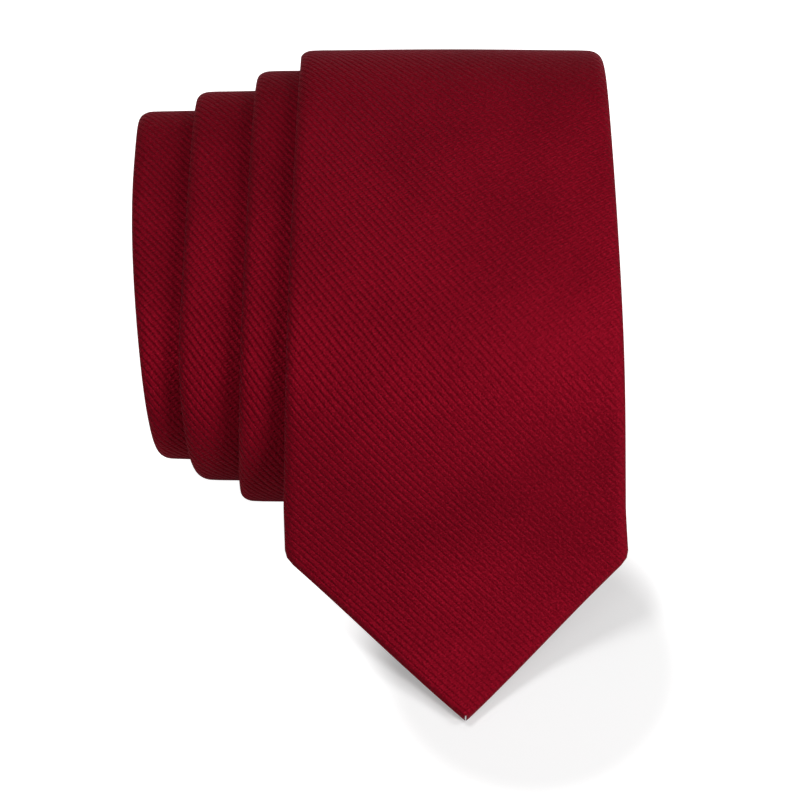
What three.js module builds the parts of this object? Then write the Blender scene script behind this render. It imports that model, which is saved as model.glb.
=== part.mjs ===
// A slim necktie, rolled up and lying on a table, in millimetres, +Z up.
//
// The tie is a tapered tube of silk folded round an interlining. It is rolled from its narrow end, so the
// turns lie inside each other and step to the left like a telescope, and the wide end comes over the top of
// the roll and slopes down to the table in front (-Y). The roll's axis runs along X.
//
// Every piece is a ribbon laid along the same path. "along" is the distance from the wide end's point,
// "across" is the distance from the tie's centre line, and "out" is the height above the middle of its
// thickness, on the side of the good face, which is the outside of the roll.
import * as THREE from "three";

// ---- the tie when it lies flat
const TIE_LENGTH = 1400;
const BLADE_WIDTH = 70; // at the corners of the wide end
const POINT_LENGTH = 34; // from the wide end's point to its corners
const NECK_WIDTH = 33;
const NECK_START = 822; // where the blade has narrowed to the neck
const NECK_END = 950; // where the tail starts to widen
const TAIL_WIDTH = 42;
const POINT_BLUNT = 1.5; // each point stops this short of its corner
const POINT_DRIFT = 2.3; // sideways lean of the wide end's point
const DRIFT_LENGTH = 45;
const DRIFT_CURVE = 1.1; // power that the lean grows with, towards the point
const FRONT_SEAM = 905; // where the blade's cut of silk meets the neck's
const REAR_SEAM = 1130; // where the neck's cut meets the tail's
const SEAM_WIDTH = 0.6;

// ---- its thickness
const TIE_THICKNESS = 2.8;
const SILK = 0.5; // shell wall, front and back
const FOLDED_EDGE = 0.8; // shell wall at the folded side edges
const LINING_GAP = 0.25; // between layers inside the shell
const EDGE_GAP = 0.45; // between the folded edge and what is inside
const TIPPING = 0.4;
const HEM = 6; // turned-in silk round the points
const BACK_GAP = 0.5; // half the gap where the back edges meet
const THREAD = 0.2; // half the width of the slip stitch
const THREAD_INSET = 0.1; // of the slip stitch and the tail's tack within the silk's thickness
const PIECE_GAP = 0.3; // between pieces that meet end to end
const INTERLINING_SHORT = 5; // stops this short of each end
const TIPPING_SHORT = 3;
const SEAM_SHORT = 2; // the slip stitch stops this short of each opening

// ---- the back of each end
const WIDE_OPENING = 70; // where the back edges meet above the wide end's point
const TAIL_OPENING = 40;
const OPENING_SPREAD = 0.85; // half width of the opening for each millimetre of length
const TIPPING_OVERLAP = 8; // tipping hidden above the opening
const THINNING = 0.5; // past the tipping the interlining grows to its full thickness over this length

// ---- the trim on the back, each standing off the silk by TRIM_GAP
const TRIM_GAP = 0.3;
const BAR_TACK = { at: WIDE_OPENING + 1.2, length: 1.6, width: 7, thickness: 0.3 };
const TAIL_TACK = { before: 5, length: 1.2, width: 3, thickness: 0.3 };
const LABEL = { at: WIDE_OPENING + 10, length: 12, width: 34, thickness: 0.35 };
const CARE_TAG = { at: WIDE_OPENING + 22.5, length: 10, width: 14, thickness: 0.25 };
const KEEPER = { at: WIDE_OPENING + 72, length: 10, width: 38, thickness: 0.5 };
const TRIM_TACK = { length: 3, width: 1.6, thickness: 0.3 };

// ---- the roll, seen along X
// The tie is wound round a flat core line. Its own length settles how large the roll comes out.
const FLAT_HALF = 26; // half length of the core line and of the flat bottom run
const DOME_RISE = 4; // how far the top bulges above a flat run
const OUTER_SPACING = 1.6; // between the turns that step to the left
const INNER_SPACING = 0.35;
const OUTER_PITCH = TIE_THICKNESS + OUTER_SPACING;
const INNER_PITCH = TIE_THICKNESS + INNER_SPACING;
const OUTER_TURNS = 3;
const ROLL_STEP = 0.1; // the outer turn's radius grows by this until the roll holds the whole tie
const CORNER_STEPS = 6; // flats to a quarter turn
const CREST_ANGLES = [4, 9]; // extra bends where the long dome turns fastest
const BOTTOM_BENDS = [1, 1 / 3, -1 / 3, -1]; // along the flat bottom run, from its back to its front

// ---- where each turn's centre line stands, to the left of the front blade's
// The tie crosses over to it between these winding angles, counted from the crest of the turn before.
const CROSSINGS = [
  { shift: 15.6, start: 20, end: 275 },
  { shift: 33.9, start: 130, end: 345 },
  { shift: 49.8, start: 125, end: 375 },
  { shift: 37, start: 20, end: 190 }, // the inner turns lie further in, out of sight behind the fourth
  { shift: 35, start: 20, end: 190 },
  { shift: 33, start: 20, end: 190 },
];

// ---- the front blade's slope, from the roll to the table
const LEAVE_ANGLE = 52; // in front of the crest
const POINT_AHEAD = 41; // from the roll's front to the point
const POINT_SLOPE = 9; // degrees
const POINT_LIFT = 0.3; // of its lower face above the table
const LEAVE_REACH = 0.33; // control handles, as shares of the distance
const POINT_REACH = 0.45;
const SLIDE_STEP = 6; // length of one flat

// ---- where one moving stretch ends and the next begins
const CREST_ANGLE = 0; // the front blade lifts here
const TURN_CUT = 225; // each turn starts at the front end of the bottom run

const SAME_PLACE = 0.05; // two bends closer than this are one

const material = (name, color, roughness) =>
  new THREE.MeshStandardMaterial({ name, color, roughness, metalness: 0 });
const MATERIALS = {
  silk: material("silk", 0x7a0d1e, 0.55),
  lining: material("lining", 0x5c0f1b, 0.45),
  interlining: material("interlining", 0xd8d0c0, 0.95),
  thread: material("thread", 0x6a0c1a, 0.6),
  label: material("label", 0x1d1a1c, 0.6),
  tag: material("tag", 0xe8e4dc, 0.7),
};

const radians = THREE.MathUtils.degToRad;

// ---------------------------------------------------------------- the tie's width

function halfWidth(along) {
  const blade = THREE.MathUtils.mapLinear(along, POINT_LENGTH, NECK_START, BLADE_WIDTH, NECK_WIDTH);
  const tailCorner = TIE_LENGTH - TAIL_WIDTH / 2;
  const tail = THREE.MathUtils.mapLinear(along, NECK_END, tailCorner, NECK_WIDTH, TAIL_WIDTH);
  const body = along < NECK_END ? Math.max(blade, NECK_WIDTH) : tail;
  const widePoint = (along * BLADE_WIDTH) / (2 * POINT_LENGTH);
  return Math.min(widePoint, TIE_LENGTH - along, body / 2);
}

// Half the gap between the turned-in back edges: closed along the seam, a diamond behind each point.
function halfOpening(along) {
  const open = (fromPoint, length) =>
    Math.min(halfWidth(along) - FOLDED_EDGE - HEM, OPENING_SPREAD * (length - fromPoint));
  const wide = open(along, WIDE_OPENING);
  const tail = open(TIE_LENGTH - along, TAIL_OPENING);
  return Math.max(BACK_GAP, along < TIE_LENGTH / 2 ? wide : tail);
}

// ---------------------------------------------------------------- the path, a list of stations

// From the core line to the middle of the tie at a winding angle, in a roll with this radius at its crest.
function turnRadius(crestRadius, angle) {
  const outer = Math.min(angle, OUTER_TURNS * 360);
  return crestRadius - (OUTER_PITCH * outer + INNER_PITCH * (angle - outer)) / 360;
}

// The middle of the tie at a winding angle: 0 is the crest, 90 the back, 180 the bottom, 270 the front.
// "side" places a point along the flat bottom run, from 1 at the back to -1 at the front.
function windingStation(crestRadius, angle, side = Math.sign(Math.sin(radians(angle)))) {
  const sin = Math.sin(radians(angle));
  const cos = Math.cos(radians(angle));
  const normal = new THREE.Vector2(sin, cos);
  const core = new THREE.Vector2(FLAT_HALF * side, 0);
  if (cos > 0) {
    const reach = Math.hypot(FLAT_HALF * sin, DOME_RISE * cos);
    core.set((FLAT_HALF ** 2 * sin) / reach, (DOME_RISE ** 2 * cos) / reach);
  }
  const middle = core.addScaledVector(normal, turnRadius(crestRadius, angle));
  middle.y += turnRadius(crestRadius, 180) + TIE_THICKNESS / 2; // the outer turn lies on the table
  return { angle, middle, normal };
}

function windingStations(crestRadius) {
  const quarter = 90 / CORNER_STEPS;
  const angles = [];
  for (let angle = 0; angle < 360; angle += quarter) angles.push(angle);
  for (const extra of CREST_ANGLES) angles.push(extra, 360 - extra);
  angles.sort((a, b) => a - b);

  const stations = [];
  for (let turn = -1; turnRadius(crestRadius, 360 * turn) > TIE_THICKNESS / 2; turn += 1) {
    for (const part of angles) {
      const angle = 360 * turn + part;
      if (angle < -LEAVE_ANGLE || turnRadius(crestRadius, angle) < TIE_THICKNESS / 2) continue;
      const sides = part === 180 ? BOTTOM_BENDS : [undefined];
      for (const side of sides) stations.push(windingStation(crestRadius, angle, side));
    }
  }
  return stations;
}

// The front blade: a smooth slide from the roll's front to the table.
function slideStations(crestRadius) {
  const leave = windingStation(crestRadius, -LEAVE_ANGLE);
  const downRoll = new THREE.Vector2(-Math.cos(radians(LEAVE_ANGLE)), -Math.sin(radians(LEAVE_ANGLE)));
  const downPoint = new THREE.Vector2(-Math.cos(radians(POINT_SLOPE)), -Math.sin(radians(POINT_SLOPE)));
  const pointY = -(FLAT_HALF + crestRadius + POINT_AHEAD);
  const point = new THREE.Vector2(pointY, TIE_THICKNESS / 2 + POINT_LIFT);
  const span = point.distanceTo(leave.middle);
  const slide = new THREE.CubicBezierCurve(
    point,
    point.clone().addScaledVector(downPoint, -POINT_REACH * span),
    leave.middle.clone().addScaledVector(downRoll, LEAVE_REACH * span),
    leave.middle,
  );
  const flats = Math.round(slide.getLength() / SLIDE_STEP);
  return Array.from({ length: flats + 1 }, (_, i) => {
    const tangent = slide.getTangentAt(i / flats);
    const normal = new THREE.Vector2(-tangent.y, tangent.x);
    return { angle: -LEAVE_ANGLE, middle: slide.getPointAt(i / flats), normal };
  });
}

function mixStations(a, b, share) {
  return {
    angle: THREE.MathUtils.lerp(a.angle, b.angle, share),
    along: THREE.MathUtils.lerp(a.along, b.along, share),
    shift: THREE.MathUtils.lerp(a.shift ?? 0, b.shift ?? 0, share),
    middle: a.middle.clone().lerp(b.middle, share),
    normal: a.normal.clone().lerp(b.normal, share),
  };
}

function stationAt(path, key, value) {
  const next = path.findIndex((station, i) => i > 0 && station[key] >= value);
  const a = path[next - 1];
  const b = path[next];
  const share = b[key] === a[key] ? 0 : (value - a[key]) / (b[key] - a[key]);
  return mixStations(a, b, share);
}

// How far a station stands to the left: the point's small lean to the right, then a crossing on each turn.
function shiftAt(path, station) {
  const lean = 1 - Math.min(1, station.along / DRIFT_LENGTH);
  let shift = -POINT_DRIFT * lean ** DRIFT_CURVE;
  let before = 0;
  for (const [turn, crossing] of CROSSINGS.entries()) {
    if (path.at(-1).angle < 360 * turn + crossing.end) break;
    const start = stationAt(path, "angle", 360 * turn + crossing.start).along;
    const end = stationAt(path, "angle", 360 * turn + crossing.end).along;
    shift += (crossing.shift - before) * THREE.MathUtils.smoothstep(station.along, start, end);
    before = crossing.shift;
  }
  return shift;
}

function pathWith(crestRadius) {
  const path = [...slideStations(crestRadius), ...windingStations(crestRadius)];
  path[0].along = 0;
  for (let i = 1; i < path.length; i += 1)
    path[i].along = path[i - 1].along + path[i].middle.distanceTo(path[i - 1].middle);
  return path;
}

function tiePath() {
  let crestRadius = OUTER_TURNS * OUTER_PITCH;
  let path = pathWith(crestRadius);
  while (path.at(-1).along < TIE_LENGTH) {
    crestRadius += ROLL_STEP;
    path = pathWith(crestRadius);
  }
  for (const station of path) station.shift = shiftAt(path, station);
  return path;
}

const PATH = tiePath();
const alongAt = (angle) => stationAt(PATH, "angle", angle).along;

// ---------------------------------------------------------------- ribbons

// A closed solid: the outline that section(along) gives, as [across, out] pairs running anticlockwise, laid
// on the path from start to end. Extra bends are put in at the named places.
function ribbonGeometry(start, end, section, bends = []) {
  const places = [start, end, ...bends.filter((place) => place > start && place < end)];
  for (const station of PATH) {
    const clear = places.every((place) => Math.abs(place - station.along) > SAME_PLACE);
    if (station.along > start && station.along < end && clear) places.push(station.along);
  }
  places.sort((a, b) => a - b);

  const positions = [];
  for (const along of places) {
    const { middle, normal, shift } = stationAt(PATH, "along", along);
    for (const [across, out] of section(along))
      positions.push(across - shift, middle.x + normal.x * out, middle.y + normal.y * out);
  }

  const count = section(start).length;
  const indices = [];
  for (let ring = 0; ring + 1 < places.length; ring += 1) {
    for (let i = 0; i < count; i += 1) {
      const j = (i + 1) % count;
      const here = ring * count;
      const next = here + count;
      indices.push(here + i, next + j, here + j, here + i, next + i, next + j);
    }
  }
  const cap = (along) =>
    THREE.ShapeUtils.triangulateShape(section(along).map(([x, y]) => new THREE.Vector2(x, y)), []);
  const last = (places.length - 1) * count;
  for (const [a, b, c] of cap(start)) indices.push(a, b, c);
  for (const [a, b, c] of cap(end)) indices.push(last + a, last + c, last + b);

  const geometry = new THREE.BufferGeometry();
  geometry.setAttribute("position", new THREE.Float32BufferAttribute(positions, 3));
  geometry.setIndex(indices);
  geometry.computeVertexNormals();
  return geometry;
}

const rectangle = (left, right, low, high) => [
  [left, low],
  [right, low],
  [right, high],
  [left, high],
];

// ---------------------------------------------------------------- sections

const FACE = TIE_THICKNESS / 2;
const CAVITY = FACE - SILK; // half the room inside the shell

// Silk folded round to the back, where its two edges almost meet.
function shellSection(along) {
  const outer = halfWidth(along);
  const inner = outer - FOLDED_EDGE;
  const gap = halfOpening(along);
  return [
    [gap, -FACE],
    [outer, -FACE],
    [outer, FACE],
    [-outer, FACE],
    [-outer, -FACE],
    [-gap, -FACE],
    [-gap, -CAVITY],
    [-inner, -CAVITY],
    [-inner, CAVITY],
    [inner, CAVITY],
    [inner, -CAVITY],
    [gap, -CAVITY],
  ];
}

const insideHalf = (along) => halfWidth(along) - FOLDED_EDGE - EDGE_GAP;
const TIPPING_LOW = -CAVITY + LINING_GAP;
const WIDE_TIPPING_END = WIDE_OPENING + TIPPING_OVERLAP;
const TAIL_TIPPING_START = TIE_LENGTH - TAIL_OPENING - TIPPING_OVERLAP;
// The interlining is thin before the first place and after the last, and full between the middle two.
const THINNING_ENDS = [
  WIDE_TIPPING_END + THINNING,
  WIDE_TIPPING_END + 2 * THINNING,
  TAIL_TIPPING_START - 2 * THINNING,
  TAIL_TIPPING_START - THINNING,
];

// Full thickness along the body, and thinner where the tipping lies under it.
function interliningSection(along) {
  const overTipping = TIPPING_LOW + TIPPING + LINING_GAP;
  const full = along >= THINNING_ENDS[1] && along <= THINNING_ENDS[2];
  const half = insideHalf(along);
  return rectangle(-half, half, full ? TIPPING_LOW : overTipping, CAVITY - LINING_GAP);
}

function tippingSection(along) {
  const half = insideHalf(along);
  return rectangle(-half, half, TIPPING_LOW, TIPPING_LOW + TIPPING);
}

// The slip stitch runs in the gap between the back edges, within the silk's thickness.
const stitchSection = () => rectangle(-THREAD, THREAD, -FACE + THREAD_INSET, -CAVITY - THREAD_INSET);

const tailTackSection = () => {
  const low = -FACE + THREAD_INSET;
  return rectangle(-TAIL_TACK.width / 2, TAIL_TACK.width / 2, low, low + TAIL_TACK.thickness);
};

// A flat piece on the back, at a height of "low" below the middle.
const trimSection = (centre, width, thickness) => () => {
  const top = -FACE - TRIM_GAP;
  return rectangle(centre - width / 2, centre + width / 2, top - thickness, top);
};

// ---------------------------------------------------------------- pieces

const tie = new THREE.Group();
tie.name = "necktie";

function addRibbon(group, name, finish, start, end, section, bends) {
  const mesh = new THREE.Mesh(ribbonGeometry(start, end, section, bends), MATERIALS[finish]);
  mesh.name = name;
  group.add(mesh);
}

function addTrim(group, name, finish, { at, length, width, thickness }, centre = 0) {
  addRibbon(group, name, finish, at - length / 2, at + length / 2, trimSection(centre, width, thickness));
}

// A flat trim with a small tack beside each of its ends.
function addTackedTrim(group, name, finish, trim) {
  addTrim(group, name, finish, trim);
  const centre = trim.width / 2 + PIECE_GAP + TRIM_TACK.width / 2;
  for (const [side, sign] of [["left", -1], ["right", 1]])
    addTrim(group, `${name}_tack_${side}`, "thread", { ...TRIM_TACK, at: trim.at }, sign * centre);
}

// Silk, interlining and slip stitch of one moving stretch.
function addStretch(name, start, end, { silk = true } = {}) {
  const group = new THREE.Group();
  group.name = name;
  const from = Math.max(start + PIECE_GAP / 2, POINT_BLUNT);
  const to = Math.min(end - PIECE_GAP / 2, TIE_LENGTH - POINT_BLUNT);
  const corners = [POINT_LENGTH, TIE_LENGTH - TAIL_WIDTH / 2];
  const openings = [WIDE_OPENING, TIE_LENGTH - TAIL_OPENING];
  if (silk) addRibbon(group, `shell_${name}`, "silk", from, to, shellSection, [...corners, ...openings]);

  const short = POINT_BLUNT + INTERLINING_SHORT;
  const bends = [...corners, ...THINNING_ENDS];
  const padStart = Math.max(from, short);
  const padEnd = Math.min(to, TIE_LENGTH - short);
  addRibbon(group, `interlining_${name}`, "interlining", padStart, padEnd, interliningSection, bends);

  const seamStart = Math.max(from, BAR_TACK.at + BAR_TACK.length / 2 + SEAM_SHORT);
  const seamEnd = Math.min(to, TIE_LENGTH - TAIL_OPENING - SEAM_SHORT);
  addRibbon(group, `slip_stitch_${name}`, "thread", seamStart, seamEnd, stitchSection);
  tie.add(group);
  return group;
}

const crest = alongAt(CREST_ANGLE);
const cuts = [0, 1, 2].map((turn) => alongAt(TURN_CUT + 360 * turn));

function addFrontBlade() {
  const group = addStretch("front_blade", 0, crest);
  const start = POINT_BLUNT + TIPPING_SHORT;
  const bends = [POINT_LENGTH];
  addRibbon(group, "tipping_wide_end", "lining", start, WIDE_TIPPING_END, tippingSection, bends);
  addTrim(group, "bar_tack_wide_end", "thread", BAR_TACK);
  addTackedTrim(group, "label", "label", LABEL);
  addTrim(group, "care_tag", "tag", CARE_TAG);
}

function addOuterTurn() {
  const group = addStretch("outer_turn", crest, cuts[0]);
  addTackedTrim(group, "keeper_loop", "silk", KEEPER);
}

// The middle of the roll: the end of the blade's cut of silk, then the neck's and the tail's, sewn together.
function addCore() {
  const group = addStretch("core", cuts[2], TIE_LENGTH, { silk: false });
  const clear = SEAM_WIDTH / 2 + PIECE_GAP;
  const corner = TIE_LENGTH - TAIL_WIDTH / 2;
  const lengths = [
    ["shell_turn_4", cuts[2] + PIECE_GAP / 2, FRONT_SEAM - clear],
    ["shell_neck", FRONT_SEAM + clear, REAR_SEAM - clear],
    ["shell_tail", REAR_SEAM + clear, TIE_LENGTH - POINT_BLUNT],
  ];
  for (const [name, start, end] of lengths)
    addRibbon(group, name, "silk", start, end, shellSection, [corner, TIE_LENGTH - TAIL_OPENING]);
  const seams = [["piecing_seam_front", FRONT_SEAM], ["piecing_seam_rear", REAR_SEAM]];
  for (const [name, at] of seams)
    addRibbon(group, name, "thread", at - SEAM_WIDTH / 2, at + SEAM_WIDTH / 2, shellSection);

  const tippingEnd = TIE_LENGTH - POINT_BLUNT - TIPPING_SHORT;
  addRibbon(group, "tipping_tail", "lining", TAIL_TIPPING_START, tippingEnd, tippingSection, [corner]);
  const tackAt = TIE_LENGTH - TAIL_OPENING + TAIL_TACK.before;
  addRibbon(group, "bar_tack_tail", "thread", tackAt, tackAt + TAIL_TACK.length, tailTackSection);
}

addFrontBlade();
addOuterTurn();
addStretch("turn_2", cuts[0], cuts[1]);
addStretch("turn_3", cuts[1], cuts[2]);
addCore();

export default tie;
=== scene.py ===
# A slim necktie, rolled up: the visual pieces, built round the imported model.
import bpy
import math
import numpy as np
from mathutils import Matrix, Vector


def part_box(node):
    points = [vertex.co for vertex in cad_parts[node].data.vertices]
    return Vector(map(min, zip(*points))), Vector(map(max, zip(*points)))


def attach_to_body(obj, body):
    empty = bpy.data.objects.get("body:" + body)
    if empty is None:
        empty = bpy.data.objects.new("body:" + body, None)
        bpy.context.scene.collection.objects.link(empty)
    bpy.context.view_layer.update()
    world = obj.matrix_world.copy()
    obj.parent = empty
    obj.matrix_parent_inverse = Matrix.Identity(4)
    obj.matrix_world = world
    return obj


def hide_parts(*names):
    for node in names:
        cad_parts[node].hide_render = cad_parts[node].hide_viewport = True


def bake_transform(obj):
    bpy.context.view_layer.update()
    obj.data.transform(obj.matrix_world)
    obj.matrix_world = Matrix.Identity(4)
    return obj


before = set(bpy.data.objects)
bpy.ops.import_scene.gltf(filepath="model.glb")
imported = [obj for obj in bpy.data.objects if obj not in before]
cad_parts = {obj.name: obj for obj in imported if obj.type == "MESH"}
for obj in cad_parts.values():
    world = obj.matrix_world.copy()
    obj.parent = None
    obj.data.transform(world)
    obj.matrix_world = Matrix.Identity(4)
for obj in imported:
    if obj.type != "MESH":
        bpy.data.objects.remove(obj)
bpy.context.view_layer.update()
mm = 0.001

# ---------- the tie lying flat, in millimetres ----------
# along runs from the wide end's point, across from the centre line, out from the middle of the thickness
tie = {
    "length": 1400,
    "bladeWidth": 70,
    "pointLength": 34,
    "neckWidth": 33,
    "neckStart": 822,
    "neckEnd": 950,
    "tailWidth": 42,
    "thickness": 2.8,
    "pointRound": 0.8,
    "cornerRound": 1.6,
    "pointDrift": 2.3,
    "driftLength": 45,
    "driftCurve": 1.1,
    "frontSeam": 905,
    "rearSeam": 1130,
}

# ---------- the roll, seen along X ----------
roll = {
    "flatHalf": 26,
    "domeRise": 4,
    "outerPitch": 4.4,
    "innerPitch": 3.15,
    "outerTurns": 3,
    # sideways place of each next turn, and the two angles from the crest before between which it is reached
    "crossings": [(15.6, 20, 275), (33.9, 130, 345), (50.2, 118, 366), (37, 20, 190), (35, 20, 190),
                  (33, 20, 190)],
    "leaveAngle": 52,
    "pointAhead": 41,
    "pointSlope": 9,
    "pointLift": 0.3,
    "leaveReach": 0.33,
    "pointReach": 0.45,
}
# how finely the path is drawn: stations on the slope and on each flat run, and degrees between two on a bend
pathSteps = {"slope": 240, "run": 60, "degrees": 0.5}

face = tie["thickness"] / 2
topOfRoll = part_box("shell_outer_turn")[1].z / mm
crestRadius = (topOfRoll - roll["domeRise"] - tie["thickness"] + roll["outerPitch"] / 2) / 2


def turnRadius(angle):
    outer = np.minimum(angle, roll["outerTurns"] * 360)
    return crestRadius - (roll["outerPitch"] * outer + roll["innerPitch"] * (angle - outer)) / 360


def windingPoint(angle, side=None):
    # 0 is the crest, 90 the back, 180 the bottom, 270 the front; side runs along the flat bottom, 1 to -1
    sin, cos = math.sin(math.radians(angle)), math.cos(math.radians(angle))
    half, rise = roll["flatHalf"], roll["domeRise"]
    coreY, coreZ = half * (side if side is not None else math.copysign(1, sin)), 0.0
    if cos > 0:
        reach = math.hypot(half * sin, rise * cos)
        coreY, coreZ = half**2 * sin / reach, rise**2 * cos / reach
    radius = turnRadius(angle)
    height = turnRadius(180) + face
    return [angle, coreY + radius * sin, coreZ + radius * cos + height, sin, cos]


def downSlope(angle):
    return -np.array([math.cos(math.radians(angle)), math.sin(math.radians(angle))])


def slidePoints():
    # the front blade, from its point on the table up to the roll: a smooth curve with two handles
    leave = windingPoint(-roll["leaveAngle"])
    start = np.array([-(roll["flatHalf"] + crestRadius + roll["pointAhead"]), face + roll["pointLift"]])
    end = np.array(leave[1:3])
    span = np.linalg.norm(end - start)
    handleA = start - downSlope(roll["pointSlope"]) * roll["pointReach"] * span
    handleB = end + downSlope(roll["leaveAngle"]) * roll["leaveReach"] * span
    rows = []
    for t in np.linspace(0, 1, pathSteps["slope"], endpoint=False):
        u = 1 - t
        place = u**3 * start + 3 * u * u * t * handleA + 3 * u * t * t * handleB + t**3 * end
        heading = u * u * (handleA - start) + 2 * u * t * (handleB - handleA) + t * t * (end - handleB)
        heading /= np.linalg.norm(heading)
        rows.append([-roll["leaveAngle"], place[0], place[1], -heading[1], heading[0]])
    return rows


def rising(angles):
    # stations on a flat run share one angle, so each is raised a hair above the one before
    return angles + np.arange(len(angles)) * 1e-9


def buildPath():
    # columns: winding angle, y, z, outward y, outward z, along, side step
    rows = slidePoints()
    angle = -float(roll["leaveAngle"])
    while turnRadius(angle) > face:
        if angle % 360 == 180:
            for side in np.linspace(1, -1, pathSteps["run"]):
                rows.append(windingPoint(angle, side))
        else:
            rows.append(windingPoint(angle))
        angle += pathSteps["degrees"]
    path = np.array(rows)
    steps = np.hypot(np.diff(path[:, 1]), np.diff(path[:, 2]))
    along = np.concatenate([[0], np.cumsum(steps)])
    sideStep = np.zeros(len(path))
    before = 0
    for turn, (place, start, end) in enumerate(roll["crossings"]):
        bounds = [start + 360 * turn, end + 360 * turn]
        if bounds[1] > path[-1, 0]:
            break
        first, last = np.interp(bounds, rising(path[:, 0]), along)
        share = np.clip((along - first) / (last - first), 0, 1)
        sideStep += (place - before) * share * share * (3 - 2 * share)
        before = place
    lean = np.clip(1 - along / tie["driftLength"], 0, 1)
    sideStep -= tie["pointDrift"] * lean ** tie["driftCurve"]
    return np.column_stack([path, along, sideStep])


path = buildPath()
print("path: %.0f mm long, crest radius %.1f mm" % (path[-1, 5], crestRadius))


def alongAt(angle):
    return float(np.interp(angle, rising(path[:, 0]), path[:, 5]))


def stationAt(along):
    y, z, outY, outZ, sideStep = [np.interp(along, path[:, 5], path[:, column]) for column in (1, 2, 3, 4, 6)]
    size = np.hypot(outY, outZ)
    return y, z, outY / size, outZ / size, sideStep


def placeOn(along, across, out):
    # flat tie coordinates in millimetres to the rolled place in metres
    y, z, outY, outZ, sideStep = stationAt(along)
    return np.stack([across - sideStep, y + outY * out, z + outZ * out], axis=-1) * mm


# ---------- the tie's outline ----------
def softMin(a, b, width):
    share = np.clip(0.5 + 0.5 * (b - a) / width, 0, 1)
    return b + (a - b) * share - width * share * (1 - share)


def halfWidth(along):
    along = np.asarray(along, float)
    narrowing = (tie["bladeWidth"] - tie["neckWidth"]) / (tie["neckStart"] - tie["pointLength"])
    blade = tie["bladeWidth"] - narrowing * (along - tie["pointLength"])
    tailCorner = tie["length"] - tie["tailWidth"] / 2
    widening = (tie["tailWidth"] - tie["neckWidth"]) / (tailCorner - tie["neckEnd"])
    tail = tie["neckWidth"] + widening * (along - tie["neckEnd"])
    neck = softMin(-blade, -tie["neckWidth"] + 0 * along, 4) * -1
    body = np.where(along < tie["neckEnd"], neck, np.maximum(tail, tie["neckWidth"])) / 2
    widePoint = along * tie["bladeWidth"] / (2 * tie["pointLength"])
    ends = np.minimum(widePoint, tie["length"] - along)
    point = np.sqrt(np.maximum(ends**2 - tie["pointRound"] ** 2, 1e-4))
    return softMin(point, body, tie["cornerRound"])


back = {
    "silk": 0.5,
    "hem": 6,
    "seamGap": 0.22,
    "wideOpening": 70,
    "tailOpening": 40,
    "spread": 0.85,
    "foldRoll": 2.4,
    "droop": 0.3,
    "droopReach": 5,
    "foldWall": 0.8,
    "crown": 0.22,
}


def halfOpening(along):
    ends = np.minimum(along, tie["length"] - along)
    length = np.where(along < tie["length"] / 2, back["wideOpening"], back["tailOpening"])
    hemmed = halfWidth(along) - back["foldWall"] - back["hem"]
    return np.maximum(back["seamGap"], np.minimum(hemmed, back["spread"] * (length - ends)))


def arc(centreX, centreOut, radiusX, radiusOut, start, end, steps):
    turn = np.radians(np.linspace(start, end, steps, endpoint=False))
    return np.column_stack([centreX + radiusX * np.cos(turn), centreOut + radiusOut * np.sin(turn)])


def line(start, end, steps):
    return np.linspace(start, end, steps, endpoint=False)


def onOuterTurns(along):
    return along < alongAt(360 * roll["outerTurns"] + 90)


fullHalf = 20  # half width from which the crown and the droop are whole


def drooped(outline, along):
    # the side edges of the outer turns hang a little
    if not onOuterTurns(along):
        return outline
    half = float(halfWidth(along))
    fromEdge = np.clip((half - np.abs(outline[:, 0])) / min(back["droopReach"], 0.8 * half), 0, 1)
    outline[:, 1] -= back["droop"] * min(1.0, half / fullHalf) * (1 - fromEdge) ** 2
    return outline


def shellSection(along):
    # anticlockwise outline of the folded silk, from the right back edge round the outside and back inside
    half = float(halfWidth(along))
    roundX = min(back["foldRoll"], 0.55 * half)
    wall = min(back["silk"], 0.3 * half)
    inner = half - min(back["foldWall"], 0.3 * half)
    innerRound = min(0.78 * roundX, 0.6 * inner)
    edge = wall / 2
    gap = min(float(halfOpening(along)), 0.5 * (inner - innerRound))
    puff = back["crown"] * min(1.0, half / fullHalf) if onOuterTurns(along) else 0
    flat = half - roundX
    front = line([flat, face], [-flat, face], 26)
    front[:, 1] += puff * (1 - (front[:, 0] / flat) ** 2) ** 2
    innerFlat = inner - innerRound
    cavity = face - wall
    parts = [
        arc(gap + edge, -face + edge, edge, edge, 90, 270, 5),
        line([gap + edge, -face], [flat, -face], 7),
        arc(flat, 0, roundX, face, -90, 90, 14),
        front,
        arc(-flat, 0, roundX, face, 90, 270, 14),
        line([-flat, -face], [-gap - edge, -face], 7),
        arc(-gap - edge, -face + edge, edge, edge, -90, 90, 5),
        line([-gap - edge, -cavity], [-innerFlat, -cavity], 4),
        arc(-innerFlat, 0, innerRound, cavity, 270, 90, 6),
        line([-innerFlat, cavity], [innerFlat, cavity], 12),
        arc(innerFlat, 0, innerRound, cavity, 90, -90, 6),
        line([innerFlat, -cavity], [gap + edge, -cavity], 4),
    ]
    outline = drooped(np.vstack(parts), along)
    outerCount = sum(len(part) for part in parts[:7])
    middle = sum(len(part) for part in parts[:3]) + len(front) // 2
    lengths = np.hypot(*np.diff(outline[:outerCount], axis=0).T)
    developed = np.concatenate([[0], np.cumsum(lengths)])
    developed = developed[middle] - developed
    cloth = np.concatenate([developed, outline[outerCount:, 0]])
    return outline, cloth


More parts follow.
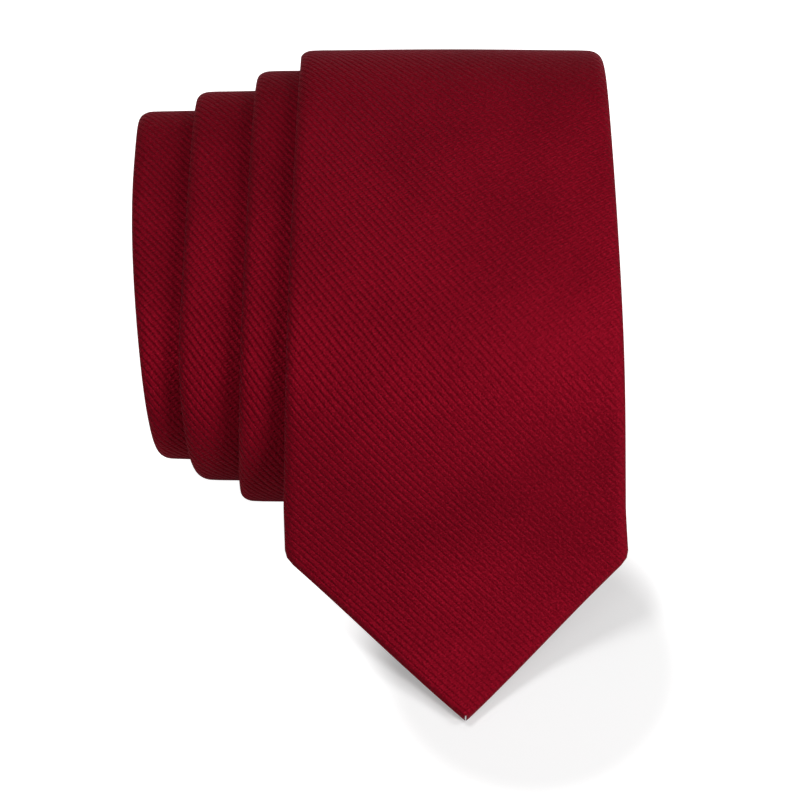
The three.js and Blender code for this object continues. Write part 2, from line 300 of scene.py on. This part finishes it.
def paddedSection(half, low, high, roundX, steps=8):
    # a flat strip with rounded sides
    centre, thick = (low + high) / 2, (high - low) / 2
    roundX = min(roundX, 0.8 * half)
    flat = half - roundX
    outline = np.vstack([
        line([-flat, low], [flat, low], steps),
        arc(flat, centre, roundX, thick, -90, 90, 6),
        line([flat, high], [-flat, high], steps),
        arc(-flat, centre, roundX, thick, 90, 270, 6),
    ])
    return outline, outline[:, 0]


# ---------- meshes ----------
clothUnit = 100.0  # millimetres of cloth to one unit of the UV map


def cleanMesh(name, vertices, faces, cloth, normals):
    mesh = bpy.data.meshes.new(name)
    mesh.from_pydata(vertices.tolist(), [], faces)
    layer = mesh.uv_layers.new(name="cloth")
    loops = np.zeros(len(mesh.loops), np.int32)
    mesh.loops.foreach_get("vertex_index", loops)
    layer.data.foreach_set("uv", cloth[loops].astype(np.float32).ravel())
    mesh.shade_smooth()
    mesh.normals_split_custom_set_from_vertices(normals.tolist())
    mesh.update()
    piece = bpy.data.objects.new(name, mesh)
    bpy.context.scene.collection.objects.link(piece)
    return piece


def ringPlaces(start, end, spacing, bend=9):
    # rings stand closer together where the path bends tightly
    places, lastAngle = [start], np.interp(start, path[:, 5], path[:, 0])
    for station in path:
        clear = station[5] - places[-1] > 0.2 and end - station[5] > 0.5 * spacing
        if clear and (station[5] - places[-1] >= spacing or station[0] - lastAngle >= bend):
            places.append(station[5])
            lastAngle = station[0]
    return np.array(places + [end])


# close rings where a ribbon starts or ends within reach of one of the tie's two points
tipRings = {"reach": 3, "places": np.array([0, 0.05, 0.15, 0.35, 0.6]), "clear": 0.9}


def ribbon(name, start, end, spacing, section, material):
    # rings of one outline laid on the path from start to end, and an end face on each end
    alongs = ringPlaces(start, end, spacing)
    atPoint = start < tipRings["reach"]
    atTail = end > tie["length"] - tipRings["reach"]
    if atPoint:
        rest = alongs[alongs > start + tipRings["clear"]]
        alongs = np.unique(np.concatenate([start + tipRings["places"], rest]))
    if atTail:
        rest = alongs[alongs < end - tipRings["clear"]]
        alongs = np.unique(np.concatenate([rest, end - tipRings["places"]]))
    # one extra ring beyond each end, so that neighbours share their shading
    beyond = 0.5 * min(alongs[1] - alongs[0], 1)
    padded = np.concatenate([[alongs[0] - beyond], alongs, [alongs[-1] + beyond]])
    if atPoint:
        padded[0] = alongs[0]
    if atTail:
        padded[-1] = alongs[-1]
    places, cloths = [], []
    for along in padded:
        outline, across = section(along)
        places.append(placeOn(np.full(len(outline), along), outline[:, 0], outline[:, 1]))
        cloths.append(np.column_stack([across, np.full(len(outline), along)]) / clothUnit)
    places, cloths = np.array(places), np.array(cloths)
    alongWay = places[2:] - places[:-2]
    roundWay = np.roll(places, -1, axis=1) - np.roll(places, 1, axis=1)
    normals = np.cross(alongWay, roundWay[1:-1])
    normals /= np.maximum(np.linalg.norm(normals, axis=2, keepdims=True), 1e-12)
    places, cloths = places[1:-1], cloths[1:-1]
    rings, size = places.shape[:2]
    faces = []
    for ring in range(rings - 1):
        here = ring * size
        for i in range(size):
            j = (i + 1) % size
            faces.append((here + i, here + size + i, here + size + j, here + j))
    faces.append(tuple(range(size)))
    last = (rings - 1) * size
    faces.append(tuple(last + i for i in reversed(range(size))))
    piece = cleanMesh(name, places.reshape(-1, 3), faces, cloths.reshape(-1, 2), normals.reshape(-1, 3))
    piece.data.materials.append(material)
    return piece


# ---------- materials ----------
silkLook = {
    "colour": (0.235, 0.0032, 0.0135),
    # the groove colour is painted shade in the grooves between the ribs
    "groove": (0.1, 0.001, 0.0045),
    "fleck": (0.29, 0.006, 0.02),
    "ribPitch": 1.22,
    "grainPitch": 0.62,
    "ribs": 0.72,
    "grain": 0.55,
    "wander": 0.1,
    "relief": 0.2,
    "roughness": 0.5,
    "gloss": 0.4,
    "specular": 0.03,
    "specularTint": (1.0, 0.3, 0.4, 1),
    "sheen": 0.08,
    "sheenRoughness": 0.4,
    "sheenTint": (1.0, 0.3, 0.38, 1),
}


def addNode(tree, kind, **settings):
    node = tree.nodes.new(kind)
    for key, value in settings.items():
        setattr(node, key, value)
    return node


def feed(tree, socket, value):
    if isinstance(value, bpy.types.NodeSocket):
        tree.links.new(value, socket)
    elif isinstance(value, tuple):
        socket.default_value = value if len(value) == len(socket.default_value) else (*value, 1)
    else:
        socket.default_value = value


def calc(tree, operation, *values, clamp=False):
    node = addNode(tree, "ShaderNodeMath", operation=operation, use_clamp=clamp)
    for socket, value in zip(node.inputs, values):
        feed(tree, socket, value)
    return node.outputs[0]


def ramp(tree, value, low, high, start=0.0, end=1.0):
    node = addNode(tree, "ShaderNodeMapRange", interpolation_type="SMOOTHSTEP")
    for socket, given in zip(node.inputs, (value, low, high, start, end)):
        feed(tree, socket, given)
    return node.outputs[0]


def mixColour(tree, factor, first, second):
    node = addNode(tree, "ShaderNodeMix", data_type="RGBA")
    for index, value in ((0, factor), (6, first), (7, second)):
        feed(tree, node.inputs[index], value)
    return node.outputs[2]


def ribbedWeave():
    # ribs run on the bias, each a broad ridge with a narrow groove beside it, stepped by the cross threads
    group = bpy.data.node_groups.new("ribbedWeave", "ShaderNodeTree")
    group.interface.new_socket("Cloth", in_out="INPUT", socket_type="NodeSocketVector")
    for name in ("Rib Pitch", "Grain Pitch", "Wander"):
        group.interface.new_socket(name, in_out="INPUT", socket_type="NodeSocketFloat")
    for name in ("Ridge", "Groove", "Grain", "Fleck", "Shade", "Strength"):
        group.interface.new_socket(name, in_out="OUTPUT", socket_type="NodeSocketFloat")
    given = addNode(group, "NodeGroupInput").outputs
    made = addNode(group, "NodeGroupOutput").inputs

    # the UV map is in decimetres of cloth: u to the right, v up from the point
    scaled = addNode(group, "ShaderNodeVectorMath", operation="SCALE")
    group.links.new(given["Cloth"], scaled.inputs[0])
    scaled.inputs["Scale"].default_value = clothUnit
    split = addNode(group, "ShaderNodeSeparateXYZ")
    group.links.new(scaled.outputs[0], split.inputs[0])
    across, along = split.outputs["X"], split.outputs["Y"]

    def noise(scale, detail, stretch=(1, 1, 1), source=None):
        mapping = addNode(group, "ShaderNodeVectorMath", operation="MULTIPLY")
        group.links.new(source, mapping.inputs[0])
        mapping.inputs[1].default_value = stretch
        node = addNode(group, "ShaderNodeTexNoise", noise_dimensions="2D")
        group.links.new(mapping.outputs[0], node.inputs["Vector"])
        node.inputs["Scale"].default_value = scale
        node.inputs["Detail"].default_value = detail
        return node.outputs[0]

    # above the wide end the ribs are pulled steeper, most of all near the left edge
    pulled = ramp(group, along, 45.0, 120.0)
    bend = calc(group, "MULTIPLY", across, calc(group, "MULTIPLY_ADD", across, -0.0016, 0.03))
    ribWay = calc(group, "MULTIPLY", calc(group, "ADD", across, along), math.sqrt(0.5))
    ribWay = calc(group, "MULTIPLY_ADD", pulled, bend, ribWay)
    stretch = calc(group, "SMOOTH_MAX", calc(group, "SUBTRACT", along, 82.0), 0.0, 60.0)
    ribWay = calc(group, "MULTIPLY_ADD", stretch, -0.12, ribWay)
    threadWay = calc(group, "MULTIPLY", calc(group, "SUBTRACT", along, across), math.sqrt(0.5))
    joined = addNode(group, "ShaderNodeCombineXYZ")
    group.links.new(ribWay, joined.inputs[0])
    group.links.new(threadWay, joined.inputs[1])
    bias = joined.outputs[0]

    drift = calc(group, "SUBTRACT", noise(0.25, 2, (1, 0.3, 1), bias), 0.5)
    jitter = calc(group, "SUBTRACT", noise(1.6, 1, (0.6, 1, 1), bias), 0.5)
    wander = calc(group, "ADD", calc(group, "MULTIPLY", drift, 3.0), jitter)
    ribTurns = calc(group, "DIVIDE", ribWay, given["Rib Pitch"])
    ribTurns = calc(group, "MULTIPLY_ADD", wander, given["Wander"], ribTurns)
    fromRidge = calc(group, "ABSOLUTE", calc(group, "SUBTRACT", calc(group, "FRACT", ribTurns), 0.5))
    grainTurns = calc(group, "DIVIDE", threadWay, given["Grain Pitch"])
    grainTurns = calc(group, "MULTIPLY_ADD", ribTurns, 0.5, grainTurns)
    grain = calc(group, "ABSOLUTE", calc(group, "SINE", calc(group, "MULTIPLY", grainTurns, math.pi)))
    groove = ramp(group, fromRidge, 0.24, 0.47)
    broken = calc(group, "MULTIPLY_ADD", grain, -0.45, 1.0)
    ridge = calc(group, "SUBTRACT", 1.0, calc(group, "MULTIPLY", calc(group, "POWER", fromRidge, 2.0), 3.2))
    fleck = ramp(group, noise(1.5, 3, (1, 1, 1), bias), 0.38, 0.72)
    # the ribs are drawn stronger on the left and weaker to the right and near the point: painted light, the
    # contrast that light from the left gives them, in the grooves' colour as well as in their bump
    side = ramp(group, across, -22.0, 26.0, 1.0, 0.45)
    ribStrengthPaintedLight = calc(group, "MULTIPLY", side, ramp(group, along, 30.0, 110.0, 0.7, 1.0))
    masks = {
        "Ridge": ridge,
        "Groove": calc(group, "MULTIPLY", groove, broken),
        "Grain": grain,
        "Fleck": fleck,
        "Shade": noise(0.04, 2, (1, 1, 1), bias),
        "Strength": ribStrengthPaintedLight,
    }
    for name, value in masks.items():
        group.links.new(value, made[name])
    return group


weave = ribbedWeave()


def clothMaterial(name, look):
    material = bpy.data.materials.new(name)
    material.use_nodes = True
    tree = material.node_tree
    shader = tree.nodes["Principled BSDF"].inputs
    cloth = addNode(tree, "ShaderNodeUVMap", uv_map="cloth")
    pattern = addNode(tree, "ShaderNodeGroup")
    pattern.node_tree = weave
    tree.links.new(cloth.outputs[0], pattern.inputs["Cloth"])
    pattern.inputs["Rib Pitch"].default_value = look["ribPitch"]
    pattern.inputs["Grain Pitch"].default_value = look["grainPitch"]
    pattern.inputs["Wander"].default_value = look["wander"]
    made = pattern.outputs
    # the ribs' strength carries painted light: stronger on the left, weaker to the right and near the point
    ribs = calc(tree, "MULTIPLY", made["Strength"], look["ribs"])
    groove = calc(tree, "MULTIPLY", made["Groove"], ribs)
    fleck = calc(tree, "MULTIPLY", calc(tree, "MULTIPLY", made["Fleck"], made["Grain"]), look["grain"])
    colour = mixColour(tree, fleck, look["colour"], look["fleck"])
    # the grooves are darkened in colour: painted shade in the grooves between the ribs
    colour = mixColour(tree, calc(tree, "MULTIPLY", groove, 0.8), colour, look["groove"])
    dim = calc(tree, "MULTIPLY", calc(tree, "SUBTRACT", 1.0, made["Fleck"]), look["grain"])
    colour = mixColour(tree, calc(tree, "MULTIPLY", dim, 0.45), colour, look["groove"])
    brightness = ramp(tree, made["Shade"], 0.3, 0.7, 0.93, 1.07)
    scaled = addNode(tree, "ShaderNodeVectorMath", operation="SCALE")
    tree.links.new(colour, scaled.inputs[0])
    tree.links.new(brightness, scaled.inputs["Scale"])
    tree.links.new(scaled.outputs[0], shader["Base Color"])
    tree.links.new(calc(tree, "MULTIPLY_ADD", groove, 0.25, look["roughness"]), shader["Roughness"])
    height = calc(tree, "MULTIPLY", calc(tree, "SUBTRACT", made["Ridge"], made["Groove"]), ribs)
    height = calc(tree, "MULTIPLY_ADD", made["Grain"], 0.3, height)
    height = calc(tree, "MULTIPLY_ADD", made["Fleck"], 0.5, height)
    bump = addNode(tree, "ShaderNodeBump")
    bump.inputs["Strength"].default_value = 1.0
    bump.inputs["Distance"].default_value = look["relief"] * mm
    tree.links.new(height, bump.inputs["Height"])
    tree.links.new(bump.outputs[0], shader["Normal"])
    shader["Metallic"].default_value = look["gloss"]
    shader["Specular IOR Level"].default_value = look["specular"]
    shader["Specular Tint"].default_value = look["specularTint"]
    shader["Sheen Weight"].default_value = look["sheen"]
    shader["Sheen Roughness"].default_value = look["sheenRoughness"]
    shader["Sheen Tint"].default_value = look["sheenTint"]
    return material


# in each look the groove colour is painted shade in its grooves
liningLook = dict(silkLook, ribPitch=0.3, grainPitch=0.25, ribs=0.35, grain=0.3, relief=0.04, gloss=0.3,
                  colour=(0.13, 0.003, 0.009), groove=(0.08, 0.0015, 0.005), fleck=(0.16, 0.005, 0.013))
woolLook = dict(silkLook, ribPitch=1.5, grainPitch=1.2, ribs=0.5, grain=0.9, relief=0.3, gloss=0.0,
                wander=0.6, roughness=0.85, colour=(0.66, 0.6, 0.5), groove=(0.42, 0.37, 0.29),
                fleck=(0.78, 0.73, 0.64))
labelLook = dict(silkLook, ribPitch=0.35, grainPitch=0.5, ribs=0.5, grain=0.5, relief=0.05, gloss=0.0,
                 colour=(0.018, 0.016, 0.018), groove=(0.008, 0.007, 0.008), fleck=(0.035, 0.032, 0.035))
tapeLook = dict(silkLook, ribPitch=0.4, grainPitch=0.4, ribs=0.3, grain=0.4, relief=0.04, gloss=0.0,
                colour=(0.74, 0.72, 0.68), groove=(0.55, 0.53, 0.5), fleck=(0.82, 0.8, 0.77))
silk = clothMaterial("burgundyRibbedSilk", silkLook)
lining = clothMaterial("smoothLining", liningLook)
wool = clothMaterial("brushedInterlining", woolLook)
labelSatin = clothMaterial("blackLabelSatin", labelLook)
tape = clothMaterial("paleTape", tapeLook)

threadLook = {
    "colour": (0.16, 0.004, 0.011),
    "dark": (0.07, 0.0015, 0.005),
    "scale": 2600.0,
    "relief": 0.05,
    "roughness": 0.45,
}


def threadMaterial(look):
    material = bpy.data.materials.new("burgundyThread")
    material.use_nodes = True
    tree = material.node_tree
    shader = tree.nodes["Principled BSDF"].inputs
    place = addNode(tree, "ShaderNodeTexCoord")
    twist = addNode(tree, "ShaderNodeTexNoise")
    tree.links.new(place.outputs["Object"], twist.inputs["Vector"])
    twist.inputs["Scale"].default_value = look["scale"]
    tree.links.new(mixColour(tree, twist.outputs[0], look["dark"], look["colour"]), shader["Base Color"])
    bump = addNode(tree, "ShaderNodeBump")
    bump.inputs["Distance"].default_value = look["relief"] * mm
    tree.links.new(twist.outputs[0], bump.inputs["Height"])
    tree.links.new(bump.outputs[0], shader["Normal"])
    shader["Roughness"].default_value = look["roughness"]
    return material


thread = threadMaterial(threadLook)

# ---------- the moving stretches ----------
# name, first and last place along the tie, its body or the two it lies between, stem of its CAD nodes' names
pointStart = tie["pointRound"] + 0.02
liftStart, liftEnd = 98.0, 117.0  # wholly on the blade's side of the hinge
runStart, runEnd = 150, 255
runClear = 3


def runPlaces(turn):
    return alongAt(runStart + 360 * turn), alongAt(runEnd + 360 * turn)


runs = [runPlaces(turn) for turn in range(3)]
stretches = [
    ("point", pointStart, liftStart, ("front_blade",), "front_blade"),
    ("crest", liftStart, liftEnd, ("front_blade", "outer_turn"), None),
    ("outerTurn", liftEnd, runs[0][0], ("outer_turn",), "outer_turn"),
    ("firstRun", runs[0][0], runs[0][1], ("outer_turn", "turn_2"), None),
    ("turnTwo", runs[0][1], runs[1][0], ("turn_2",), "turn_2"),
    ("secondRun", runs[1][0], runs[1][1], ("turn_2", "turn_3"), None),
    ("turnThree", runs[1][1], runs[2][0], ("turn_3",), "turn_3"),
    ("thirdRun", runs[2][0], runs[2][1], ("turn_3", "core"), None),
    ("core", runs[2][1], tie["length"] - pointStart, ("core",), "core"),
]


def attach(piece, stretch, bodies):
    if len(bodies) == 1:
        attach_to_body(piece, bodies[0])
        return
    start, end = stretch
    first, last = placeOn(start, 0, 0), placeOn(end, 0, 0)
    if "front_blade" not in bodies:
        # for a bottom run the end places are measured level along Y and clear of its two ends
        first = np.array([0, first[1] - runClear * mm, 0])
        last = np.array([0, last[1] + runClear * mm, 0])
    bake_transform(piece)


inside = {
    "edge": 1.25,
    "low": -0.62,
    "high": 0.66,
    "tippingTop": -0.22,
    "overTipping": 0.0,
    "tippingEnds": (78, 1352),
    "thinEnds": (79, 1351),
    "padShort": 5,
    "tippingStart": 4.5,
    "tippingEnd": 1396,
    "round": 2.0,
}


bandLift = 0.05  # between the back of the tie and what is sewn on it


def padSection(along):
    # the interlining, thinner where the tipping lies under it
    full = inside["thinEnds"][0] <= along <= inside["thinEnds"][1]
    low = inside["low"] if full else inside["overTipping"]
    half = float(halfWidth(along)) - inside["edge"]
    outline, across = paddedSection(half, low, inside["high"], inside["round"])
    return drooped(outline, along), across


def tippingSection(along):
    half = float(halfWidth(along)) - inside["edge"]
    outline, across = paddedSection(half, inside["low"], inside["tippingTop"], inside["round"])
    return drooped(outline, along), across


def bandSection(width, thickness, bow):
    # a flat band on the back, bowed away from the silk in its middle
    def section(along):
        high = -face - bandLift
        outline, across = paddedSection(width / 2, high - thickness, high, 0.6 * thickness, steps=14)
        outline[:, 1] -= bow * np.clip(1 - (outline[:, 0] / (width / 2)) ** 2, 0, 1)
        return drooped(outline, along), across
    return section


def layRibbon(name, start, end, fineness, section, material, bodies, stretch, node=None):
    piece = ribbon(name, start, end, fineness, section, material)
    attach(piece, stretch, bodies)
    if node:
        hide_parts(node)


spacing = {"shell": 1.3, "coreShell": 2.2, "inner": 3.0, "trim": 1.0}
cutGap = 0.3  # from a piecing seam's middle to the silk beside it
for name, start, end, bodies, stem in stretches:
    stretch = (start, end)
    parts = [(name, start, end, "shell_" + stem if stem else None)]
    if name == "core":
        parts = [("turnFour", start, tie["frontSeam"] - cutGap, "shell_turn_4"),
                 ("neck", tie["frontSeam"] + cutGap, tie["rearSeam"] - cutGap, "shell_neck"),
                 ("tail", tie["rearSeam"] + cutGap, end, "shell_tail")]
    for label, first, last, node in parts:
        fineness = spacing["coreShell"] if label in ("neck", "tail") else spacing["shell"]
        layRibbon("silk_" + label, first, last, fineness, shellSection, silk, bodies, stretch, node)
    first = max(start, inside["padShort"])
    last = min(end, tie["length"] - inside["padShort"])
    node = "interlining_" + stem if stem else None
    layRibbon("interlining_" + name, first, last, spacing["inner"], padSection, wool, bodies,
              stretch, node)
print("silk shells and interlining made")

tippings = [("tippingWideEnd", inside["tippingStart"], inside["tippingEnds"][0], "front_blade",
             "tipping_wide_end"),
            ("tippingTail", inside["tippingEnds"][1], inside["tippingEnd"], "core", "tipping_tail")]
for name, start, end, body, node in tippings:
    layRibbon(name, start, end, spacing["inner"], tippingSection, lining, (body,), None, node)


seam = {"half": 0.28, "thin": 0.9, "narrow": 0.995}


def seamSection(along):
    # the sewn joint between two cuts of silk, sunk a little below its face
    outline, across = shellSection(along)
    outline[:, 1] *= seam["thin"]
    outline[:, 0] *= seam["narrow"]
    return outline, across


for name, at, node in (("piecingSeamFront", tie["frontSeam"], "piecing_seam_front"),
                       ("piecingSeamRear", tie["rearSeam"], "piecing_seam_rear")):
    start, end = at - seam["half"], at + seam["half"]
    layRibbon(name, start, end, seam["half"], seamSection, thread, ("core",), None, node)

bands = {
    "label": {"at": 80, "length": 12, "width": 34, "thickness": 0.35, "bow": 0.25},
    "careTag": {"at": 92.5, "length": 10, "width": 14, "thickness": 0.25, "bow": 0.1},
    "keeperLoop": {"at": 142, "length": 10, "width": 38, "thickness": 0.5, "bow": 0.35},
}
finishes = {
    "label": (labelSatin, "label", "front_blade", "label"),
    "careTag": (tape, "tag", "front_blade", "care_tag"),
    "keeperLoop": (silk, "silk", "outer_turn", "keeper_loop"),
}
for name, band in bands.items():
    material, slot, body, node = finishes[name]
    start, end = band["at"] - band["length"] / 2, band["at"] + band["length"] / 2
    section = bandSection(band["width"], band["thickness"], band["bow"])
    layRibbon(name, start, end, spacing["trim"], section, material, (body,), None, node)
print("tipping, seams, label, tag and keeper loop made")


# ---------- sewing ----------
def stitchTree():
    # one short stitch, a small rounded body, at every point, turned as the point's own attribute says
    tree = bpy.data.node_groups.new("stitches", "GeometryNodeTree")
    tree.interface.new_socket("Geometry", in_out="INPUT", socket_type="NodeSocketGeometry")
    for name in ("Stitch Length", "Thread Width", "Slant", "Uneven"):
        tree.interface.new_socket(name, in_out="INPUT", socket_type="NodeSocketFloat")
    tree.interface.new_socket("Seed", in_out="INPUT", socket_type="NodeSocketInt")
    tree.interface.new_socket("Material", in_out="INPUT", socket_type="NodeSocketMaterial")
    tree.interface.new_socket("Geometry", in_out="OUTPUT", socket_type="NodeSocketGeometry")
    given = addNode(tree, "NodeGroupInput").outputs
    made = addNode(tree, "NodeGroupOutput").inputs
    ball = addNode(tree, "GeometryNodeMeshUVSphere")
    ball.inputs["Segments"].default_value = 8
    ball.inputs["Rings"].default_value = 6
    ball.inputs["Radius"].default_value = 0.5
    size = addNode(tree, "ShaderNodeCombineXYZ")
    for socket, name in zip(size.inputs, ("Stitch Length", "Thread Width", "Thread Width")):
        tree.links.new(given[name], socket)
    smooth = addNode(tree, "GeometryNodeSetShadeSmooth")
    tree.links.new(ball.outputs["Mesh"], smooth.inputs["Geometry"])
    onPoints = addNode(tree, "GeometryNodeInstanceOnPoints")
    tree.links.new(given["Geometry"], onPoints.inputs["Points"])
    tree.links.new(smooth.outputs[0], onPoints.inputs["Instance"])
    tree.links.new(size.outputs[0], onPoints.inputs["Scale"])
    turn = addNode(tree, "GeometryNodeInputNamedAttribute", data_type="FLOAT_VECTOR")
    turn.inputs["Name"].default_value = "turn"
    tree.links.new(turn.outputs["Attribute"], onPoints.inputs["Rotation"])
    uneven = addNode(tree, "FunctionNodeRandomValue", data_type="FLOAT")
    tree.links.new(calc(tree, "MULTIPLY", given["Uneven"], -1.0), uneven.inputs[2])
    tree.links.new(given["Uneven"], uneven.inputs[3])
    tree.links.new(given["Seed"], uneven.inputs["Seed"])
    lean = addNode(tree, "ShaderNodeCombineXYZ")
    tree.links.new(calc(tree, "ADD", given["Slant"], uneven.outputs[1]), lean.inputs["Z"])
    rotate = addNode(tree, "GeometryNodeRotateInstances")
    tree.links.new(onPoints.outputs[0], rotate.inputs["Instances"])
    tree.links.new(lean.outputs[0], rotate.inputs["Rotation"])
    realize = addNode(tree, "GeometryNodeRealizeInstances")
    tree.links.new(rotate.outputs[0], realize.inputs[0])
    finish = addNode(tree, "GeometryNodeSetMaterial")
    tree.links.new(realize.outputs[0], finish.inputs["Geometry"])
    tree.links.new(given["Material"], finish.inputs["Material"])
    tree.links.new(finish.outputs[0], made["Geometry"])
    return tree


stitches = stitchTree()


stitchSeed = 3


def sew(name, places, look):
    # places are (along, across, out) in millimetres; a stitch lies along the tie before it is slanted
    points, turns = [], []
    for along, across, out in places:
        point = placeOn(along, across, out)
        ahead = Vector(placeOn(along + 0.5, across, out) - placeOn(along - 0.5, across, out)).normalized()
        outY, outZ = stationAt(along)[2:4]
        away = -Vector((0, outY, outZ))
        turn = Matrix((ahead, away.cross(ahead), away)).transposed().to_euler()
        points.append(point)
        turns.append(tuple(turn))
    mesh = bpy.data.meshes.new(name)
    mesh.from_pydata([tuple(point) for point in points], [], [])
    mesh.attributes.new("turn", "FLOAT_VECTOR", "POINT").data.foreach_set("vector", np.array(turns).ravel())
    piece = bpy.data.objects.new(name, mesh)
    bpy.context.scene.collection.objects.link(piece)
    modifier = piece.modifiers.new("stitches", "NODES")
    modifier.node_group = stitches
    values = {
        "Stitch Length": look["length"] * mm,
        "Thread Width": look["width"] * mm,
        "Slant": math.radians(look["slant"]),
        "Uneven": math.radians(look["uneven"]),
        "Seed": stitchSeed,
        "Material": thread,
    }
    for socket in stitches.interface.items_tree:
        if socket.in_out == "INPUT" and socket.name in values:
            modifier[socket.identifier] = values[socket.name]
    evaluated = piece.evaluated_get(bpy.context.evaluated_depsgraph_get())
    finished = bpy.data.meshes.new_from_object(evaluated)
    piece.modifiers.remove(modifier)
    piece.data = finished
    return piece


slipStitch = {
    "length": 2.6,
    "width": 0.3,
    "slant": 28,
    "uneven": 7,
    "pitch": 5.5,
    "start": 75,
    "end": 1357,
    "clear": 2,
    "out": -face + 0.02,
}
for name, start, end, bodies, stem in stretches:
    first = max(start, slipStitch["start"]) + slipStitch["clear"]
    last = min(end, slipStitch["end"]) - slipStitch["clear"]
    if last - first < slipStitch["pitch"]:
        continue
    count = int((last - first) / slipStitch["pitch"]) + 1
    places = [(along, 0, slipStitch["out"]) for along in np.linspace(first, last, count)]
    piece = sew("slipStitch_" + name, places, slipStitch)
    attach(piece, (start, end), bodies)
    if stem:
        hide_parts("slip_stitch_" + stem)


tackStitch = {"width": 0.36, "slant": 0, "uneven": 4, "pitch": 0.4, "out": -face - 0.12}


def tackPlaces(at, centre, width):
    # parallel threads side by side across the width of the tack
    count = int(width / tackStitch["pitch"])
    acrosses = centre + np.linspace(-width / 2, width / 2, count)
    return [(at, across, tackStitch["out"]) for across in acrosses]


# name, place along the tie, centre across it, width, length of each stitch, body, CAD node
tacks = [
    ("barTackWideEnd", 71.2, 0, 7, 1.8, "front_blade", "bar_tack_wide_end"),
    ("barTackTail", 1365.6, 0, 3, 1.3, "core", "bar_tack_tail"),
    ("labelTackLeft", 80, -17.7, 1.6, 3, "front_blade", "label_tack_left"),
    ("labelTackRight", 80, 17.7, 1.6, 3, "front_blade", "label_tack_right"),
    ("keeperTackLeft", 142, -19.7, 1.6, 3, "outer_turn", "keeper_loop_tack_left"),
    ("keeperTackRight", 142, 19.7, 1.6, 3, "outer_turn", "keeper_loop_tack_right"),
]
for name, at, centre, width, length, body, node in tacks:
    piece = sew(name, tackPlaces(at, centre, width), dict(tackStitch, length=length))
    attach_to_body(piece, body)
    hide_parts(node)
print("sewing made")

bpy.context.view_layer.update()

# ---------- floor, light and camera ----------
# the floor's grey beside the point is partly a painted shadow set by shadowGlow, which stays there when the
# blade is lifted
stageLook = {
    "side": 4.0,
    "colour": 0.65,
    "glow": 0.95,
    "shadowGlow": 0.3,
    "shadowPlace": (0.016, -0.08, 0.0),
    "shadowReach": (0.026, 0.042),
    "world": 0.1,
}


def makeStage():
    # the floor glows white to the camera only, and its glow dims in a fixed round patch beside the point: a
    # painted shadow
    mesh = bpy.data.meshes.new("floor")
    side = stageLook["side"]
    corners = [(-side, -side, 0), (side, -side, 0), (side, side, 0), (-side, side, 0)]
    mesh.from_pydata(corners, [], [(0, 1, 2, 3)])
    floor = bpy.data.objects.new("floor", mesh)
    bpy.context.scene.collection.objects.link(floor)
    material = bpy.data.materials.new("paleFloor")
    material.use_nodes = True
    tree = material.node_tree
    shader = tree.nodes["Principled BSDF"].inputs
    shader["Base Color"].default_value = (*[stageLook["colour"]] * 3, 1)
    shader["Roughness"].default_value = 0.9
    shader["Specular IOR Level"].default_value = 0.1
    shader["Emission Color"].default_value = (1, 1, 1, 1)
    place = addNode(tree, "ShaderNodeTexCoord")
    distance = addNode(tree, "ShaderNodeVectorMath", operation="DISTANCE")
    tree.links.new(place.outputs["Object"], distance.inputs[0])
    distance.inputs[1].default_value = stageLook["shadowPlace"]
    # near shadowPlace the glow drops to shadowGlow: painted shadow
    paintedShadowThenGlow = (stageLook["shadowGlow"], stageLook["glow"])
    glow = ramp(tree, distance.outputs["Value"], *stageLook["shadowReach"], *paintedShadowThenGlow)
    seen = addNode(tree, "ShaderNodeLightPath").outputs["Is Camera Ray"]
    tree.links.new(calc(tree, "MULTIPLY", glow, seen), shader["Emission Strength"])
    mesh.materials.append(material)
    world = bpy.data.worlds.new("softRoom")
    world.use_nodes = True
    world.node_tree.nodes["Background"].inputs["Color"].default_value = (1, 1, 1, 1)
    world.node_tree.nodes["Background"].inputs["Strength"].default_value = stageLook["world"]
    bpy.context.scene.world = world


lamps = {
    "key": {"place": (-0.2, 0.05, 0.7), "size": 0.22, "power": 1.7},
    "side": {"place": (0.525, -0.375, 0.375), "size": 0.3, "power": 2.7},
    "highSide": {"place": (0.45, 0.0, 0.6), "size": 0.25, "power": 1.3},
    "top": {"place": (0.0, 0.26, 0.756), "size": 0.3, "power": 0.3},
    "frontLeft": {"place": (-0.35, -0.5, 0.45), "size": 0.3, "power": 0.6},
}


def makeLamps():
    for name, lamp in lamps.items():
        data = bpy.data.lights.new(name, "AREA")
        data.shape = "DISK"
        data.size = lamp["size"]
        data.energy = lamp["power"]
        light = bpy.data.objects.new(name, data)
        light.location = lamp["place"]
        light.rotation_euler = (-Vector(lamp["place"])).to_track_quat("-Z", "Y").to_euler()
        bpy.context.scene.collection.objects.link(light)


cameraView = {"aim": (-0.0111, -0.0255, 0.0177), "elevation": 55, "distance": 0.863, "lens": 185.6}


def makeCamera():
    data = bpy.data.cameras.new("camera")
    data.lens = cameraView["lens"]
    data.sensor_width = 36
    data.clip_start = 0.01
    camera = bpy.data.objects.new("camera", data)
    rise = math.radians(cameraView["elevation"])
    towards = np.array([0, -math.cos(rise), math.sin(rise)])
    camera.location = np.array(cameraView["aim"]) + towards * cameraView["distance"]
    camera.rotation_euler = (math.pi / 2 - rise, 0, 0)
    bpy.context.scene.collection.objects.link(camera)
    bpy.context.scene.camera = camera


makeStage()
makeLamps()
makeCamera()
bpy.context.scene.view_settings.view_transform = "Standard"
print("stage, lamps and camera placed")
